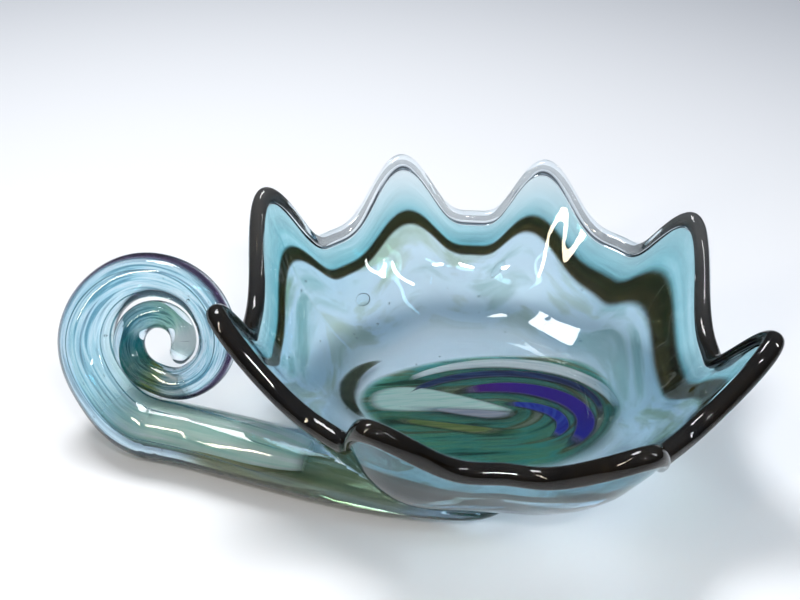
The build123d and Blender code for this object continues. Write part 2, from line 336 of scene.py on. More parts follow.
def ramp(nodes, stops, interpolation="EASE"):
    node = nodes.new("ShaderNodeValToRGB")
    node.color_ramp.interpolation = interpolation
    elements = node.color_ramp.elements
    while len(elements) > 1:
        elements.remove(elements[-1])
    elements[0].position, elements[0].color = stops[0][0], (*stops[0][1], 1)
    for position, colour in stops[1:]:
        elements.new(position).color = (*colour, 1)
    return node


def noise(nodes, links, scale, detail=4.0, flow=None, distortion=0.0):
    """Noise in the object's own space, or along the piece's flow attribute."""
    node = nodes.new("ShaderNodeTexNoise")
    node.inputs["Scale"].default_value = scale
    node.inputs["Detail"].default_value = detail
    node.inputs["Distortion"].default_value = distortion
    if flow:
        place = nodes.new("ShaderNodeAttribute")
        place.attribute_name = flow
        links.new(place.outputs["Vector"], node.inputs["Vector"])
    else:
        place = nodes.new("ShaderNodeTexCoord")
        links.new(place.outputs["Object"], node.inputs["Vector"])
    return node


def bump(nodes, links, height, strength, distance):
    node = nodes.new("ShaderNodeBump")
    node.inputs["Strength"].default_value = strength
    node.inputs["Distance"].default_value = distance
    links.new(height, node.inputs["Height"])
    return node


def math_node(nodes, links, operation, *values):
    node = nodes.new("ShaderNodeMath")
    node.operation = operation
    node.use_clamp = True
    for socket, value in zip(node.inputs, values):
        if isinstance(value, (int, float)):
            socket.default_value = value
        else:
            links.new(value, socket)
    return node.outputs["Value"]


def mix(nodes, links, weight, low, high):
    node = nodes.new("ShaderNodeMix")
    node.data_type = "RGBA"
    links.new(weight, node.inputs["Factor"])
    for socket, value in ((node.inputs["A"], low), (node.inputs["B"], high)):
        if isinstance(value, tuple):
            socket.default_value = (*value, 1)
        else:
            links.new(value, socket)
    return node.outputs["Result"]


GLASS_IOR, AIR_IOR = 1.47, 0.68
PATCH_SCALE, WAVE_SCALE = 22, 55
WAVE_STRENGTH, WAVE_DISTANCE = 0.25, 0.0006


def clear_glass(name, tint, density, patches):
    """Fire-polished clear glass whose volume is tinted and whose surface is faintly uneven."""
    material, nodes, links, shader, output = new_material(name)
    shader.inputs["Transmission Weight"].default_value = 1.0
    shader.inputs["Roughness"].default_value = 0.0
    shader.inputs["IOR"].default_value = GLASS_IOR
    mottling = noise(nodes, links, PATCH_SCALE, 3)
    colours = ramp(nodes, patches)
    links.new(mottling.outputs["Fac"], colours.inputs["Fac"])
    links.new(colours.outputs["Color"], shader.inputs["Base Color"])
    fine = noise(nodes, links, WAVE_SCALE, 2)
    uneven_surface = bump(nodes, links, fine.outputs["Fac"], WAVE_STRENGTH, WAVE_DISTANCE)
    links.new(uneven_surface.outputs["Normal"], shader.inputs["Normal"])
    volume = nodes.new("ShaderNodeVolumeAbsorption")
    volume.inputs["Color"].default_value = (*tint, 1)
    volume.inputs["Density"].default_value = density
    links.new(volume.outputs["Volume"], output.inputs["Volume"])
    return material


WANDER_WIDTH, UNEVEN_GAIN, UNEVEN_BASE = 0.12, 1.1, 0.72
MILKY_GAIN, MILKY_OFFSET = 2.5, -1.5


def film(name, stops, haze=0.0, flow="flow", scale=4.0, detail=5.0, along=None):
    """Coloured glass inside the clear glass. It doesn't bend light again but tints it, and where
    it is strong it is milky by haze. Its fade attribute is 0 where it thins out to nothing."""
    material, nodes, links, shader, _ = new_material(name)
    shader.inputs["Roughness"].default_value = 0.0
    shader.inputs["IOR"].default_value = 1.0
    streaks = noise(nodes, links, scale, detail, flow, 0.3)
    fade = nodes.new("ShaderNodeAttribute")
    fade.attribute_name = "fade"
    colours = ramp(nodes, stops)
    if along:
        run = nodes.new("ShaderNodeAttribute")
        run.attribute_name = along
        wander = math_node(nodes, links, "MULTIPLY_ADD", streaks.outputs["Fac"], WANDER_WIDTH,
                           -WANDER_WIDTH / 2)
        wander = math_node(nodes, links, "ADD", run.outputs["Fac"], wander)
        links.new(wander, colours.inputs["Fac"])
    else:
        links.new(streaks.outputs["Fac"], colours.inputs["Fac"])
    uneven_fade = math_node(nodes, links, "MULTIPLY_ADD", streaks.outputs["Fac"],
                            UNEVEN_GAIN, UNEVEN_BASE)
    strength = math_node(nodes, links, "MULTIPLY", fade.outputs["Fac"], uneven_fade)
    colour = mix(nodes, links, strength, (1.0, 1.0, 1.0), colours.outputs["Color"])
    links.new(colour, shader.inputs["Base Color"])
    dense = math_node(nodes, links, "MULTIPLY_ADD", strength, MILKY_GAIN, MILKY_OFFSET)
    milky = math_node(nodes, links, "MULTIPLY", dense, haze)
    links.new(math_node(nodes, links, "SUBTRACT", 1.0, milky), shader.inputs["Transmission Weight"])
    return material


def set_attribute(obj, name, values, kind="FLOAT"):
    """Per-vertex values of a grid piece; the middles of its caps take their ring's mean."""
    values = np.asarray(values, float)
    flat = values.reshape(-1, *values.shape[2:])
    missing = len(obj.data.vertices) - len(flat)
    if missing:
        flat = np.concatenate([flat, values[0].mean(0)[None], values[-1].mean(0)[None]])
    layer = obj.data.attributes.new(name, kind, "POINT")
    layer.data.foreach_set("value" if kind == "FLOAT" else "vector", flat.ravel().astype(np.float32))


def soft_edges(fraction, margin):
    """1 in the middle of a run from 0 to 1, easing to 0 at both ends."""
    nearest = np.clip(np.minimum(fraction, 1 - fraction) / margin, 0, 1)
    return nearest * nearest * (3 - 2 * nearest)


# ---- pieces of the wall ------------------------------------------------------------------
FLOW_ROUND, FLOW_UP, LIP_FLOW = 1.2, 2.5, 2.2


def wall_film(name, low, high, layers, steps, fade, material):
    """Closed ring of colour inside the wall, between two levels and two layers."""
    fractions = np.linspace(0, 1, steps)
    loop = [(f, layers[0]) for f in fractions] + [(f, layers[1]) for f in fractions[::-1]]
    grid = np.stack([wall(places, low + (high - low) * f, layer) for f, layer in loop], 1)
    obj = grid_piece(name, grid, loop=True, material=material)
    set_attribute(obj, "fade", np.stack([fade(places, f) for f, layer in loop], 1))
    swept = [np.stack([places * FLOW_ROUND, np.full(AROUND, f * FLOW_UP), np.full(AROUND, layer)], -1)
             for f, layer in loop]
    swept = np.stack(swept, 1)
    set_attribute(obj, "flow", swept, "FLOAT_VECTOR")
    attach(obj, "root")
    return obj


FAR_SIDE_MIDDLE, FAR_SIDE_REACH = 1.45, 1.45


def at_far_side(place):
    """1 for the two clear points at the back of the bowl, 0 round the rest."""
    half_way = POINTS / 2
    away = np.abs((place - FAR_SIDE_MIDDLE + half_way) % POINTS - half_way)
    return np.clip(FAR_SIDE_REACH - away, 0, 1)


WEAKEST_GREEN, GREEN_RANGE = 0.35, 0.65


def side_strength(place):
    """Green is strongest at the bowl's two ends and weakest at the back and front."""
    return WEAKEST_GREEN + GREEN_RANGE * np.abs(np.cos(bearing(place))) ** 2


LIP_CORNERS = 24


def tube_round_lip(name, radius, material, dark):
    """Thread of colour round the middle of the lip."""
    rise = math.sqrt(LIP_RADIUS ** 2 - (WALL_THICKNESS / 2) ** 2)
    size = radius(places)
    rings = []
    for angle in np.linspace(0, 2 * np.pi, LIP_CORNERS, endpoint=False):
        grid = []
        for place, reach in zip(places, size):
            grid.append(wall(place, 1.0, 0.5 + reach * math.cos(angle) / WALL_THICKNESS,
                             rise + reach * math.sin(angle)))
        rings.append(grid)
    grid = np.asarray(rings).transpose(1, 0, 2)
    obj = grid_piece(name, grid, loop=True, material=material)
    set_attribute(obj, "fade", np.repeat(dark(places)[:, None], LIP_CORNERS, 1))
    still = np.zeros((AROUND, LIP_CORNERS))
    swept = np.stack([np.repeat(places[:, None] * LIP_FLOW, LIP_CORNERS, 1), still, still], -1)
    set_attribute(obj, "flow", swept, "FLOAT_VECTOR")
    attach(obj, "root")
    return obj


LIP_DARK = (0.90, 0.55, 0.35, 0.45, 0.35, 0.60, 0.85, 1, 1, 1, 1, 1, 1, 1, 1, 1)
LIP_CORE = (3.3, 1.3, 0.9, 1.1, 0.9, 1.4, 2.9, 3.4, 3.7, 3.8, 3.9, 4.0, 3.9, 3.9, 3.8, 3.6)

# ---- pieces of the floor -----------------------------------------------------------------
POOL_LEVEL = 5.2
POOL_OUTLINE = ((79, 2), (66, 36), (25, 41), (-20, 33), (-57, 12),
                (-58, -14), (-22, -43), (25, -48), (62, -28))
SWIRL_CENTRE, SWIRL_TILT = np.array((12.0, -8.0)), math.radians(8)


def closed_curve(corners, count):
    """Smooth closed line through corners, as an array of points."""
    corners = np.asarray(corners, float)
    total = len(corners)
    points = []
    for i in range(count):
        place = i / count * total
        k = int(place)
        f = place - k
        a, b, c, d = (corners[(k + n) % total] for n in (-1, 0, 1, 2))
        points.append(b + f / 2 * (c - a + f * (2 * a - 5 * b + 4 * c - d + f * (3 * (b - c) + d - a))))
    return np.array(points)


def swirl_line(start, end, centre, size, tilt, count):
    angles = np.radians(np.linspace(start, end, count))
    x, y = size[0] * np.cos(angles), size[1] * np.sin(angles)
    return np.stack([centre[0] + x * math.cos(tilt) - y * math.sin(tilt),
                     centre[1] + x * math.sin(tilt) + y * math.cos(tilt)], -1)


def pool_flow(points):
    """Coordinates that change quickly across the swirl of colour and slowly along it."""
    x, y = points[..., 0] - SWIRL_CENTRE[0], points[..., 1] - SWIRL_CENTRE[1]
    cos_tilt, sin_tilt = math.cos(SWIRL_TILT), math.sin(SWIRL_TILT)
    x, y = x * cos_tilt + y * sin_tilt, y * cos_tilt - x * sin_tilt
    across = np.hypot(np.maximum(x, 0) / 1.6 + np.minimum(x, 0) * 0.1, y) * np.sign(y + 0.01)
    return np.stack([across * 0.16, x * 0.010, np.zeros_like(x)], -1)


CANE_CORNERS, SHEET_POINTS, SHEET_RINGS = 28, 160, 34


def cane(name, line, widths, bottom, thickness, material, edge=0.5):
    """Lens-shaped strand of colour along a line in the floor, drawn out to points."""
    line = np.asarray(line, float)
    count = len(line)
    fractions = np.linspace(0, 1, count)
    half = np.interp(fractions, np.linspace(0, 1, len(widths)), widths) / 2
    half = np.maximum(half * np.sqrt(np.clip(np.minimum(fractions, 1 - fractions) / 0.06, 0.002, 1)), 0.05)
    direction = np.gradient(line, axis=0)
    direction /= np.linalg.norm(direction, axis=-1, keepdims=True)
    across = np.stack([-direction[:, 1], direction[:, 0]], -1)
    angles = 2 * np.pi * np.arange(CANE_CORNERS) / CANE_CORNERS
    flat = line[:, None] + across[:, None] * (half[:, None] * np.cos(angles)[None])[..., None]
    rise = np.minimum(half, thickness / 2)[:, None] * np.sin(angles)[None]
    grid = np.concatenate([flat, (bottom + thickness / 2 + rise)[..., None]], -1)
    obj = grid_piece(name, grid, material=material)
    inner = np.clip((1 - np.abs(np.cos(angles))) / edge, 0, 1)
    ends = np.clip(np.minimum(fractions, 1 - fractions) / 0.12, 0, 1)
    set_attribute(obj, "fade", ends[:, None] ** 0.7 * inner[None])
    set_attribute(obj, "flow", pool_flow(grid), "FLOAT_VECTOR")
    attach(obj, "root")
    return obj


def pool_sheet(name, corners, bottom, thickness, material, edge=0.25):
    """Leaf of colour in the floor inside a smooth outline, thinning out towards its edge."""
    outline = closed_curve(corners, SHEET_POINTS)
    middle = outline.mean(0)
    scales = np.linspace(0.02, 1.0, SHEET_RINGS)
    scales = np.concatenate([scales, scales[::-1]])
    side = np.concatenate([np.full(SHEET_RINGS, 1.0), np.full(SHEET_RINGS, -1.0)])
    rings, fades = [], []
    for scale, up in zip(scales, side):
        depth = thickness / 2 * math.sqrt(max(0.0, 1 - scale ** 6))
        flat = middle + (outline - middle) * scale
        level = np.full((SHEET_POINTS, 1), bottom + thickness / 2 + up * depth)
        rings.append(np.concatenate([flat, level], -1))
        fades.append(np.full(SHEET_POINTS, min(1.0, (1 - scale) / edge)))
    obj = grid_piece(name, rings, material=material)
    set_attribute(obj, "fade", np.array(fades))
    set_attribute(obj, "flow", pool_flow(np.array(rings)), "FLOAT_VECTOR")
    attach(obj, "root")
    return obj


# ---- pieces of the tail ------------------------------------------------------------------
def tail_piece(name, start, end, count, corners, material, fade_ends=0.15, strength=1.0, **shape):
    grid = np.array(tail_rings(start, end, count, corners, **shape))
    obj = grid_piece(name, grid, material=material)
    fractions = np.linspace(0, 1, count + 1)
    fade = soft_edges(fractions, fade_ends) * strength
    set_attribute(obj, "fade", np.repeat(fade[:, None], corners, 1))
    set_attribute(obj, "run", np.repeat(fractions[:, None], corners, 1))
    angles = 2 * np.pi * np.arange(corners) / corners
    along = np.linspace(start, end, count + 1)
    swept = np.stack([np.broadcast_to(np.cos(angles) * 1.3, (count + 1, corners)),
                      np.broadcast_to(np.sin(angles) * 1.3, (count + 1, corners)),
                      np.repeat(along[:, None] * 0.25, corners, 1)], -1)
    set_attribute(obj, "flow", swept, "FLOAT_VECTOR")
    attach(obj, "root")
    return obj


THREAD_CORNERS, THREAD_SECTIONS_A_UNIT, THREAD_WANDER = 10, 24, 6


def tail_thread(name, start, end, angle, depth, radius, material):
    """Thin thread along the tail, at an angle round it and a depth out from its middle."""
    count = int((end - start) * THREAD_SECTIONS_A_UNIT)
    corners = THREAD_CORNERS
    turns = 2 * np.pi * np.arange(corners) / corners
    rings = []
    for i in range(count + 1):
        along = start + (end - start) * i / count
        centre, side, upward, _, width, height = tail_frame(along)
        where = math.radians(angle + THREAD_WANDER * math.sin(along * 0.9 + angle))
        middle = centre + side * width * depth * math.cos(where) + upward * height * depth * math.sin(where)
        taper = math.sqrt(max(0.02, min(1.0, 6 * i / count, 6 * (count - i) / count)))
        circle = side * np.cos(turns)[:, None] + upward * np.sin(turns)[:, None]
        rings.append(middle + circle * radius * taper)
    obj = grid_piece(name, rings, material=material)
    fractions = np.linspace(0, 1, count + 1)
    set_attribute(obj, "fade", np.repeat(soft_edges(fractions, 0.12)[:, None], corners, 1))
    swept = np.zeros((count + 1, corners, 3))
    swept[..., 0] = (np.linspace(start, end, count + 1) * 0.8)[:, None] + angle
    set_attribute(obj, "flow", swept, "FLOAT_VECTOR")
    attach(obj, "root")
    return obj


SKIN_COLUMNS, SKIN_SECTIONS_A_UNIT = 24, 16
SKIN_ANGLE_AT_ROOT, SKIN_TURN_IN_LEAD = -56, 34


def tail_skin(name, start, end, spread, depth, thickness, material, bias, line_count=2.5):
    """Skin just under the tail's surface, along its lower and outer side; most such skins are colour, and
    the near-black one is painted shade.
    """
    count, columns = int((end - start) * SKIN_SECTIONS_A_UNIT), SKIN_COLUMNS
    rings, fades = [], []
    across = soft_edges(np.linspace(0, 1, columns), 0.4)
    for i in range(count + 1):
        along = start + (end - start) * i / count
        centre, side, upward, _, width, height = tail_frame(along)
        middle = SKIN_ANGLE_AT_ROOT - SKIN_TURN_IN_LEAD * min(along / LEAD_UNITS, 1.0) + bias
        angles = np.radians(np.linspace(middle - spread, middle + spread, columns))
        ring = []
        for reach, turn in ((depth, angles), (depth - thickness / height, angles[::-1])):
            ring.append(centre + side * (width * reach * np.cos(turn))[:, None]
                        + upward * (height * reach * np.sin(turn))[:, None])
        rings.append(np.concatenate(ring))
        fades.append(np.concatenate([across, across[::-1]]) * float(soft_edges(np.array(i / count), 0.12)))
    obj = grid_piece(name, rings, material=material)
    set_attribute(obj, "fade", np.array(fades))
    swept = np.zeros((count + 1, 2 * columns, 3))
    swept[..., 0] = (np.linspace(start, end, count + 1) * 0.5)[:, None]
    lines = np.linspace(0, line_count, columns)
    swept[..., 1] = np.concatenate([lines, lines[::-1]])[None]
    set_attribute(obj, "flow", swept, "FLOAT_VECTOR")
    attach(obj, "root")


# ---- bubbles -----------------------------------------------------------------------------
def bubbles(name, spots, material):
    """Ellipsoid bubbles in one piece: a list of (centre, half sizes, three axes)."""
    across, down = 20, 12
    verts, faces = [], []
    for centre, sizes, axes in spots:
        first = len(verts)
        for i in range(down + 1):
            polar = math.pi * i / down
            ring = 1 if i in (0, down) else across
            for j in range(ring):
                turn = 2 * math.pi * j / across
                x = math.sin(polar) * math.cos(turn) * sizes[0]
                y = math.sin(polar) * math.sin(turn) * sizes[1]
                z = math.cos(polar) * sizes[2]
                verts.append((centre + axes[0] * x + axes[1] * y + axes[2] * z) * MM)
        last = len(verts) - 1
        for j in range(across):
            k = (j + 1) % across
            faces.append((first, first + 1 + j, first + 1 + k))
            for i in range(down - 2):
                a, b = first + 1 + i * across, first + 1 + (i + 1) * across
                faces.append((a + j, b + j, b + k, a + k))
            b = last - across
            faces.append((last, b + k, b + j))
    obj = smooth_object(name, verts, faces, material)
    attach(obj, "root")


def wall_bubble(place, up, layer, sizes):
    """Bubble that lies flat in the wall."""
    centre = wall(place, up, layer)
    along = unit(wall(place + 0.01, up, layer) - wall(place - 0.01, up, layer))
    rising = unit(wall(place, up + 0.01, layer) - wall(place, up - 0.01, layer))
    return centre, sizes, (along, rising, np.cross(along, rising))


WALL_SEEDS, FLOOR_SEEDS, TAIL_SEEDS = 46, 26, 40


def seed_spots():
    """Places and sizes of the small seed bubbles in the wall, the floor and the tail."""
    spots = []
    for _ in range(WALL_SEEDS):
        size = rng.uniform(0.25, 0.75)
        spots.append(wall_bubble(rng.uniform(0, 8), rng.uniform(0.1, 0.8), rng.uniform(0.12, 0.4),
                                 (size * rng.uniform(1.0, 1.8), size, size * 0.8)))
    for _ in range(FLOOR_SEEDS):
        angle, reach = rng.uniform(0, 2 * np.pi), 50 * math.sqrt(rng.uniform(0, 1))
        size = rng.uniform(0.2, 0.6)
        centre = np.array((reach * math.cos(angle), reach * math.sin(angle), rng.uniform(2.5, 7.5)))
        spots.append((centre, (size, size, size), np.eye(3)))
    for _ in range(TAIL_SEEDS):
        along = rng.uniform(3, 17)
        centre, side, upward, forward, width, height = tail_frame(along)
        turn, depth, size = rng.uniform(0, 2 * np.pi), rng.uniform(0.66, 0.84), rng.uniform(0.15, 0.4)
        sideways = side * width * depth * math.cos(turn)
        upwards = upward * height * depth * math.sin(turn)
        spots.append((centre + sideways + upwards, (size, size, size * 3), (side, upward, forward)))
    return spots


OVAL_LAYER = 0.22
OVALS = (wall_bubble(0.55, 0.62, OVAL_LAYER, (5.5, 4.0, 0.7)),
         wall_bubble(1.75, 0.66, OVAL_LAYER, (6.0, 4.2, 0.7)),
         wall_bubble(2.35, 0.34, OVAL_LAYER, (6.2, 4.6, 0.8)))


def bubble_glass():
    """Air inside glass: light bends the other way."""
    material, nodes, links, shader, output = new_material("air_bubble")
    nodes.remove(shader)
    glass = nodes.new("ShaderNodeBsdfGlass")
    glass.inputs["IOR"].default_value = AIR_IOR
    glass.inputs["Roughness"].default_value = 0.0
    specks = noise(nodes, links, 300, 1)
    colours = ramp(nodes, [(0.0, (0.97, 1.0, 1.0)), (1.0, (1.0, 1.0, 1.0))])
    links.new(specks.outputs["Fac"], colours.inputs["Fac"])
    links.new(colours.outputs["Color"], glass.inputs["Color"])
    links.new(glass.outputs["BSDF"], output.inputs["Surface"])
    return material


# ---- build: the clear glass --------------------------------------------------------------
AQUA_TINT, AQUA_DENSITY = (0.28, 0.68, 0.90), 19.0
AQUA_PATCHES = [(0.0, (0.90, 0.98, 1.0)), (0.5, (1.0, 1.0, 1.0)), (1.0, (0.88, 0.98, 0.97))]
TAIL_SIZE, TAIL_RIBS = (0.99, 0.99), 0.004


def build_bowl_glass():
    """The clear glass of the bowl and the tail, fused into one body."""
    glass = clear_glass("aqua_glass", AQUA_TINT, AQUA_DENSITY, AQUA_PATCHES)
    bowl = grid_piece("bowl_glass", bowl_rings(), material=glass)
    rings = tail_rings(0.0, TAIL_END, 520, 48, size=TAIL_SIZE, ribs=TAIL_RIBS, ends=(0.03, 0.02))
    tail_body = grid_piece("tail_glass", rings, material=glass)
    boolean(tail_body, trimming_body(), "DIFFERENCE")
    boolean(bowl, tail_body, "UNION")
    bowl.data.polygons.foreach_set("use_smooth", [True] * len(bowl.data.polygons))
    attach(bowl, "root")
    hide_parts("clear_casing", "tail_casing")


# ---- build: colours in the wall ----------------------------------------------------------
OUTER_LAYERS, BAND_LAYERS = (0.28, 0.48), (0.6, 0.84)
TINT_START, TINT_FULL = 0.10, 0.3
BAND_MARGIN, BAND_SOFTNESS = 0.012, 0.24
COLLAR_TOP = 0.995
BAND_MIDDLE = (band_low(places) + band_high(places)) / 2


def build_inner_tint():
    def fade(place, f):
        return (0.45 + 0.55 * f ** 1.5 * side_strength(place)) * min(1.0, f / TINT_FULL)

    stops = [(0.33, (0.08, 0.40, 0.42)), (0.43, (0.48, 0.76, 0.90)), (0.54, (0.46, 0.72, 0.88)),
             (0.63, (0.20, 0.42, 0.28))]
    tint = film("inner_tint", stops, haze=0.05, scale=1.3, detail=5)
    piece = wall_film("inner_tint", TINT_START, BAND_MIDDLE, OUTER_LAYERS, 22, fade, tint)
    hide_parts("inner_layer")


def build_smoke_ribbon():
    def fade(place, f):
        return soft_edges(np.full(len(place), f), BAND_SOFTNESS)

    stops = [(0.25, (0.03, 0.025, 0.012)), (0.5, (0.09, 0.07, 0.025)), (0.8, (0.20, 0.16, 0.06))]
    smoke = film("smoke_band", stops, haze=0.3, scale=2.6)
    low, high = band_low(places) - BAND_MARGIN, band_high(places) + BAND_MARGIN
    piece = wall_film("smoke_ribbon", low, high, BAND_LAYERS, 18, fade, smoke)
    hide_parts("smoke_band")


def build_teal_shoulder():
    def fade(place, f):
        return (1 - 0.35 * f) * (1 - 0.75 * f * at_far_side(place) * pointedness(place))

    stops = [(0.25, (0.06, 0.34, 0.40)), (0.5, (0.14, 0.52, 0.60)), (0.75, (0.36, 0.72, 0.82))]
    teal = film("teal_collar", stops, haze=0.05, scale=1.6)
    piece = wall_film("teal_shoulder", BAND_MIDDLE, COLLAR_TOP, OUTER_LAYERS, 14, fade, teal)
    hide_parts("teal_collar")


def build_lip_core():
    def radius(place):
        return uneven(LIP_CORE, place)

    def dark(place):
        return uneven(LIP_DARK, place)

    stops = [(0.3, (0.006, 0.004, 0.002)), (0.6, (0.014, 0.009, 0.004)), (0.8, (0.05, 0.032, 0.012))]
    lip = film("lip_core", stops, haze=0.9, scale=2.0)
    piece = tube_round_lip("lip_core", radius, lip, dark)
    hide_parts("lip_wrap")


# ---- build: colours in the floor ---------------------------------------------------------
CANE_LEVEL = POOL_LEVEL + 1.2
LILAC_LEVEL = CANE_LEVEL + 1.4
GROUND_SIZE, GROUND_THICKNESS, GROUND_EDGE = 1.05, 0.8, 0.07
ARC_POINTS = 90


def arc(start, end, size, shift=0.0):
    """Line of the swirl between two angles, shifted towards or away from the camera."""
    return swirl_line(start, end, SWIRL_CENTRE + (0, shift), size, SWIRL_TILT, ARC_POINTS)


def build_pool_ground():
    stops = [(0.34, (0.03, 0.13, 0.07)), (0.42, (0.09, 0.44, 0.38)), (0.48, (0.20, 0.48, 0.30)),
             (0.54, (0.10, 0.50, 0.46)), (0.60, (0.24, 0.27, 0.11)), (0.68, (0.46, 0.47, 0.38))]
    ground = film("pool_ground", stops, haze=0.3, scale=1.05, detail=3)
    outline = np.array(POOL_OUTLINE) * GROUND_SIZE
    piece = pool_sheet("pool_ground", outline, POOL_LEVEL, GROUND_THICKNESS, ground, GROUND_EDGE)
    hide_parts("teal_ground")


def build_white_strand():
    white = film("white_cane", [(0.3, (0.62, 0.68, 0.70)), (0.6, (0.86, 0.88, 0.88))], haze=0.85)
    line, widths = arc(142, -14, (67, 41)), (3, 8, 12, 11, 4)
    piece = cane("white_strand", line, widths, CANE_LEVEL, 1.4, white, 0.3)
    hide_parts("white_cane")


def build_navy_strand():
    navy = film("navy_cane", [(0.3, (0.012, 0.02, 0.09)), (0.7, (0.03, 0.08, 0.22))], haze=0.7)
    line, widths = arc(156, -22, (57, 31.5)), (4, 7.5, 7.5, 8, 3)
    piece = cane("navy_strand", line, widths, CANE_LEVEL, 1.2, navy, 0.4)
    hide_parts("navy_cane")


def build_cobalt_strand():
    """Arc that turns from violet to cobalt along its run."""
    stops = [(0.0, (0.12, 0.005, 0.26)), (0.4, (0.05, 0.008, 0.36)), (1.0, (0.012, 0.02, 0.42))]
    cobalt = film("cobalt_cane", stops, haze=0.6, along="run")
    line, widths = arc(118, -52, (47, 28), -9.0), (4, 11, 14, 15, 13, 4)
    piece = cane("cobalt_strand", line, widths, CANE_LEVEL, 1.4, cobalt, 0.3)
    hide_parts("cobalt_cane")
    set_attribute(piece, "run", np.repeat(np.linspace(0, 1, ARC_POINTS)[:, None], CANE_CORNERS, 1))


def build_blue_strand():
    blue = film("blue_cane", [(0.3, (0.012, 0.02, 0.40)), (0.7, (0.04, 0.10, 0.55))], haze=0.6)
    line, widths = arc(84, -46, (34, 17), -12.0), (2, 8, 10, 9, 2)
    piece = cane("blue_strand", line, widths, CANE_LEVEL, 1.3, blue, 0.35)
    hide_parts("blue_cane")


def build_mint_leaf():
    stops = [(0.3, (0.46, 0.74, 0.66)), (0.55, (0.66, 0.84, 0.76)), (0.8, (0.80, 0.88, 0.86))]
    mint = film("mint_cane", stops, haze=0.8)
    outline = ((34, -10), (-10, 7), (-44, 12), (-66, 3), (-62, -14), (-22, -14))
    piece = pool_sheet("mint_leaf", outline, CANE_LEVEL, 1.2, mint, 0.35)
    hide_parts("mint_cane")


def build_lilac_leaf():
    lilac = film("lilac_cane", [(0.3, (0.40, 0.42, 0.52)), (0.7, (0.60, 0.58, 0.66))], haze=0.6)
    outline = ((34, -10), (0, -7), (-42, -9), (-10, -16), (16, -18))
    piece = pool_sheet("lilac_leaf", outline, LILAC_LEVEL, 0.8, lilac, 0.6)
    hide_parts("lilac_cane")


def build_olive_leaf():
    olive = film("olive_cane", [(0.3, (0.16, 0.24, 0.06)), (0.7, (0.36, 0.40, 0.14))], haze=0.5)
    outline = ((26, -24), (-14, -19), (-48, -16), (-54, -20), (-20, -26), (10, -30))
    piece = pool_sheet("olive_leaf", outline, CANE_LEVEL, 1.0, olive, 0.5)
    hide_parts("olive_cane")


def build_seam_fold():
    stops = [(0.3, (0.035, 0.045, 0.03)), (0.6, (0.10, 0.12, 0.06)), (0.8, (0.30, 0.32, 0.20))]
    fold = film("seam_fold", stops, haze=0.35, scale=2.6)
    line, widths = swirl_line(236, 108, (-44, 4), (28.5, 28.5), 0, 80), (1.5, 9, 13, 9, 1.5)
    piece = cane("seam_fold", line, widths, CANE_LEVEL, 2.6, fold, 0.4)
    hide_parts("seam_crescent")


# ---- build: colours in the tail, and painted shade under it ------------------------------
CORE_START, CORE_END, CORE_SECTIONS = 2.35, 11.4, 220
CORE_FADE_PLACES, CORE_FADE = (4.8, 7.2, 11.4), (1, 0.25, 0.12)
RIBBON_START, RIBBON_END, RIBBON_TURNS = 11.8, TAIL_END - 0.4, 1.25


def build_opal_core():
    """Milky core that is strong in the lead and only a trace in the coil."""
    stops = [(0.36, (0.46, 0.76, 0.66)), (0.50, (0.70, 0.88, 0.78)), (0.62, (0.88, 0.95, 0.92))]
    opal = film("opal_core", stops, haze=0.9, scale=1.4)
    run = np.linspace(CORE_START, CORE_END, CORE_SECTIONS + 1)
    piece = tail_piece("opal_core", CORE_START, CORE_END, CORE_SECTIONS, 28, opal, 0.05,
                       size=(0.62, 0.56), shift=(0.06, 0.16), ends=(0.15, 0.3),
                       strength=np.interp(run, CORE_FADE_PLACES, CORE_FADE))
    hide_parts("tail_core")


def build_coil_ribbon():
    def twist(f):
        return 2 * math.pi * RIBBON_TURNS * f

    stops = [(0.0, (0.86, 0.88, 0.87)), (0.10, (0.80, 0.78, 0.70)), (0.17, (0.36, 0.38, 0.08)),
             (0.26, (0.05, 0.22, 0.17)), (0.42, (0.05, 0.28, 0.30)), (0.52, (0.55, 0.78, 0.80)),
             (0.70, (0.55, 0.85, 0.68)), (0.85, (0.90, 0.94, 0.92)), (1.0, (0.70, 0.85, 0.84))]
    ribbon = film("coil_ribbon", stops, haze=0.45, scale=1.8, along="run")
    piece = tail_piece("coil_ribbon", RIBBON_START, RIBBON_END, 300, 36, ribbon, 0.06,
                       size=(0.80, 0.34), twist=twist, ends=(0.04, 0.04))
    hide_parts("coil_ribbon")


def build_amber_streak():
    stops = [(0.3, (0.22, 0.22, 0.10)), (0.5, (0.46, 0.42, 0.20)), (0.62, (0.62, 0.62, 0.46))]
    amber = film("amber_streak", stops, haze=0.25, scale=1.6)
    piece = tail_piece("amber_streak", 0.9, 4.6, 120, 28, amber, 0.2,
                       size=(0.60, 0.40), shift=(0.15, -0.38), ends=(0.1, 0.3))
    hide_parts("amber_streak")


THREADS = ((-48, 0.88, 0.30), (-14, 0.90, 0.28), (52, 0.88, 0.35), (84, 0.86, 0.7))
THREADS_START, THREADS_END = 1.5, 15.5
START_STEP, END_STEP = 0.4, 0.3


